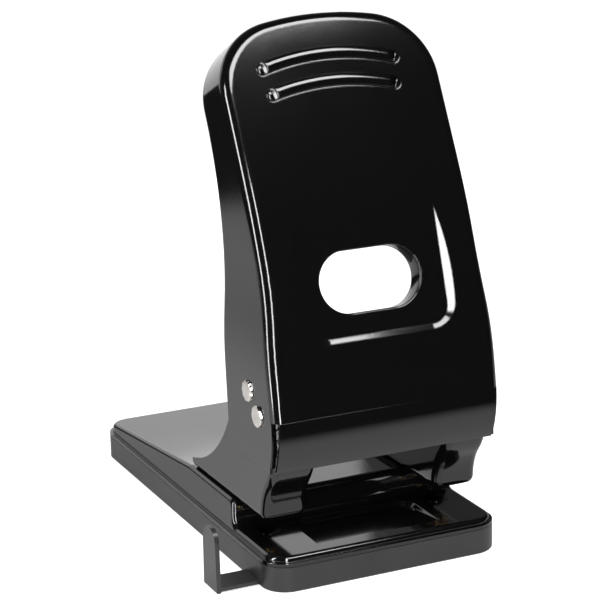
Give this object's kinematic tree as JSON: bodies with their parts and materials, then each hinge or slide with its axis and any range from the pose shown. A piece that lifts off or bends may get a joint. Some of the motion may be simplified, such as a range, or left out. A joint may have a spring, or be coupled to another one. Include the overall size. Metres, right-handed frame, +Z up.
{
  "type": "two-hole desk punch",
  "caption": "Upright-lever desk punch: pressed steel base with chip tray, side brackets, deep-drawn lever handle, spring-returned punch pins and a pull-out side paper guide.",
  "frame": {"origin": "on the desk plane, in the middle plane of the base, under the line through both punched holes", "axes": "+Z up, +Y the way the paper goes in and the lever swings down, +X to the user's right"},
  "size_m": [0.1276, 0.2012, 0.2272],
  "materials": {
    "black_enamel": "high-gloss black stoving enamel on pressed steel",
    "tray_plastic": "satin black moulded plastic",
    "guide_plastic": "satin black moulded plastic",
    "pad_rubber": "matt black rubber",
    "die_steel": "ground hardened steel",
    "tool_steel": "ground tool steel",
    "spring_steel": "oiled spring wire",
    "zinc_steel": "zinc-plated steel",
    "bush_brass": "turned brass",
    "nickel_steel": "nickel-plated rivet heads",
    "washer_plastic": "natural nylon"
  },
  "bodies": {
    "frame": {"base_plate": "black_enamel", "die_left": "die_steel", "die_right": "die_steel", "left_bracket": "black_enamel", "right_bracket": "black_enamel", "frame_rivets": "black_enamel", "guide_bush_left": "bush_brass", "guide_bush_right": "bush_brass", "pivot_axle": "nickel_steel", "spacer_tube": "zinc_steel", "pivot_washers": "washer_plastic", "return_spring_left": "spring_steel", "return_spring_right": "spring_steel"},
    "handle": {"handle_shell": "black_enamel", "drive_axle": "nickel_steel"},
    "press": {"press_bar": "zinc_steel", "punch_pin_left": "tool_steel", "punch_pin_right": "tool_steel", "pin_nuts": "zinc_steel"},
    "tray": {"chip_tray": "tray_plastic", "rubber_pads": "pad_rubber", "guide_spring": "spring_steel"},
    "guide": {"paper_guide": "guide_plastic"}
  },
  "joints": [
    {"name": "handle_swing", "type": "hinge", "parent": "frame", "child": "handle", "pos_m": [0, -0.0187, 0.0732], "axis": [-1, 0, 0], "range_deg": [0, 54], "stiffness_Nm_per_rad": 0.9, "springref_deg": -20.05},
    {"name": "press_travel", "type": "slide", "parent": "frame", "child": "press", "axis": [0, 0, -1], "range_m": [0, 0.0111], "deforming": ["return_spring_left", "return_spring_right"]},
    {"name": "guide_slide", "type": "slide", "parent": "tray", "child": "guide", "axis": [-1, 0, 0], "range_m": [-0.0168, 0.075]},
    {"name": "tray_release", "type": "slide", "parent": "frame", "child": "tray", "axis": [0, 0, -1], "range_m": [0, 0.02]}
  ],
  "couplings": [
    {"joint": "press_travel", "follows": "handle_swing", "m_per_rad": 0.011777}
  ]
}
